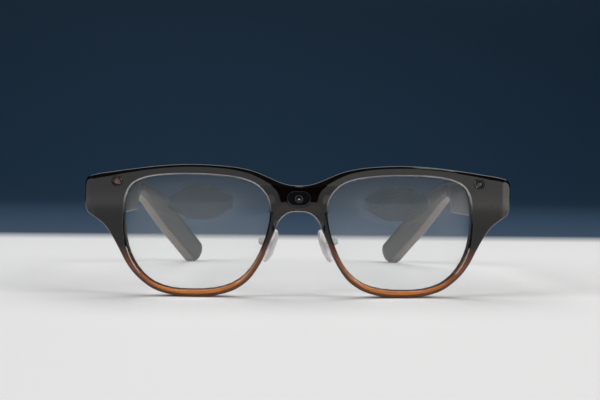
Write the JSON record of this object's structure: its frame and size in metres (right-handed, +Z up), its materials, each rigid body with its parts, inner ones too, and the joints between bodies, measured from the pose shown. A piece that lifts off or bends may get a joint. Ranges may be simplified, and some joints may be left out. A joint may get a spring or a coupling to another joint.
{
  "type": "smart glasses",
  "caption": "Full-rim glasses with clear lenses, a display grating in each lens, a small camera in the bridge and folding temples that hold electronics",
  "frame": {"origin": "middle of the bottom of the bounding box, with the glasses standing on the lower rims and ear tips and the temples open", "axes": "+Y runs back along the temples, so the front faces -Y; +Z is up; +X is the wearer's left"},
  "size_m": [0.1484, 0.1486, 0.0459],
  "materials": {
    "frame_gloss": "polished tinted cellulose, near black at the brow, amber and translucent low on the rims",
    "lens_clear": "polished clear lens with a faint grey veil",
    "waveguide_glass": "polished thin glass plate",
    "grating_film": "fine ruled grating, grey in most light",
    "black_plastic": "fine moulded satin",
    "dark_glass": "polished black glass",
    "sensor_glass": "polished pinkish brown window",
    "hinge_steel": "machined steel",
    "gold_core": "polished gold-plated metal",
    "silicone_clear": "clear silicone, slightly milky",
    "arm_clear": "clear moulded plastic",
    "temple_satin": "satin dark taupe",
    "tip_satin": "satin dark taupe",
    "circuit_board": "solder mask over fibreglass",
    "flex_film": "amber film",
    "battery_foil": "aluminium laminate pouch",
    "alloy_housing": "machined alloy",
    "speaker_body": "moulded plastic",
    "mesh_steel": "fine woven wire",
    "light_pipe": "diffusing plastic",
    "button_gloss": "satin-polished plastic"
  },
  "bodies": {
    "root": {"front_frame": "frame_gloss", "lens_left": "lens_clear", "lens_right": "lens_clear", "display_grating_left": "grating_film", "display_grating_right": "grating_film", "waveguide_left": "waveguide_glass", "waveguide_right": "waveguide_glass", "lens_retainer_left": "black_plastic", "lens_retainer_right": "black_plastic", "brow_flex": "flex_film", "brow_cover_left": "black_plastic", "brow_cover_right": "black_plastic", "bridge_cover": "black_plastic", "camera_window": "dark_glass", "camera_lens": "dark_glass", "camera_module": "alloy_housing", "sensor_window": "dark_glass", "status_light_window": "sensor_glass", "light_sensor": "speaker_body", "status_light": "light_pipe", "light_engine_left": "alloy_housing", "light_engine_right": "alloy_housing", "front_hinge_leaf_left": "hinge_steel", "front_hinge_leaf_right": "hinge_steel", "hinge_pin_left": "hinge_steel", "hinge_pin_right": "hinge_steel", "front_hinge_screw_left": "hinge_steel", "front_hinge_screw_right": "hinge_steel", "nose_arm_left": "arm_clear", "nose_arm_right": "arm_clear"},
    "temple_left": {"temple_shell_left": "temple_satin", "temple_cover_left": "black_plastic", "ear_tip_left": "tip_satin", "core_bar_left": "hinge_steel", "temple_hinge_leaf_left": "hinge_steel", "temple_hinge_screw_left": "hinge_steel", "battery_left": "battery_foil", "speaker_left": "speaker_body", "speaker_mesh_left": "mesh_steel", "power_board": "circuit_board", "power_switch": "alloy_housing"},
    "temple_right": {"temple_shell_right": "temple_satin", "temple_cover_right": "black_plastic", "ear_tip_right": "tip_satin", "core_bar_right": "hinge_steel", "temple_hinge_leaf_right": "hinge_steel", "temple_hinge_screw_right": "hinge_steel", "battery_right": "battery_foil", "speaker_right": "speaker_body", "speaker_mesh_right": "mesh_steel", "main_board": "circuit_board", "touch_sensor": "flex_film", "capture_switch": "alloy_housing", "charging_contacts": "gold_core"},
    "nose_pad_l": {"nose_pad_left": "silicone_clear", "nose_pad_core_left": "gold_core"},
    "nose_pad_r": {"nose_pad_right": "silicone_clear", "nose_pad_core_right": "gold_core"},
    "capture": {"capture_button": "button_gloss"},
    "power": {"power_button": "button_gloss"}
  },
  "joints": [
    {"name": "temple_fold_left", "type": "hinge", "parent": "root", "child": "temple_left", "pos_m": [0.0644, -0.06032, 0.0345], "axis": [0, 0, 1], "range_deg": [0, 78]},
    {"name": "temple_fold_right", "type": "hinge", "parent": "root", "child": "temple_right", "pos_m": [-0.0644, -0.06032, 0.0345], "axis": [0, 0, -1], "range_deg": [0, 48]},
    {"name": "nose_rock_left", "type": "hinge", "parent": "root", "child": "nose_pad_l", "pos_m": [0.012, -0.06292, 0.0182], "axis": [0.309, 0.9511, 0], "range_deg": [-6, 6], "stiffness_Nm_per_rad": 0.002},
    {"name": "nose_rock_right", "type": "hinge", "parent": "root", "child": "nose_pad_r", "pos_m": [-0.012, -0.06292, 0.0182], "axis": [-0.309, 0.9511, 0], "range_deg": [-6, 6], "stiffness_Nm_per_rad": 0.002},
    {"name": "capture_press", "type": "slide", "parent": "temple_right", "child": "capture", "axis": [0, 0, -1], "range_m": [0, 0.0003], "stiffness_N_per_m": 1500},
    {"name": "power_press", "type": "slide", "parent": "temple_left", "child": "power", "axis": [0, 0, 1], "range_m": [0, 0.0003], "stiffness_N_per_m": 1500}
  ]
}
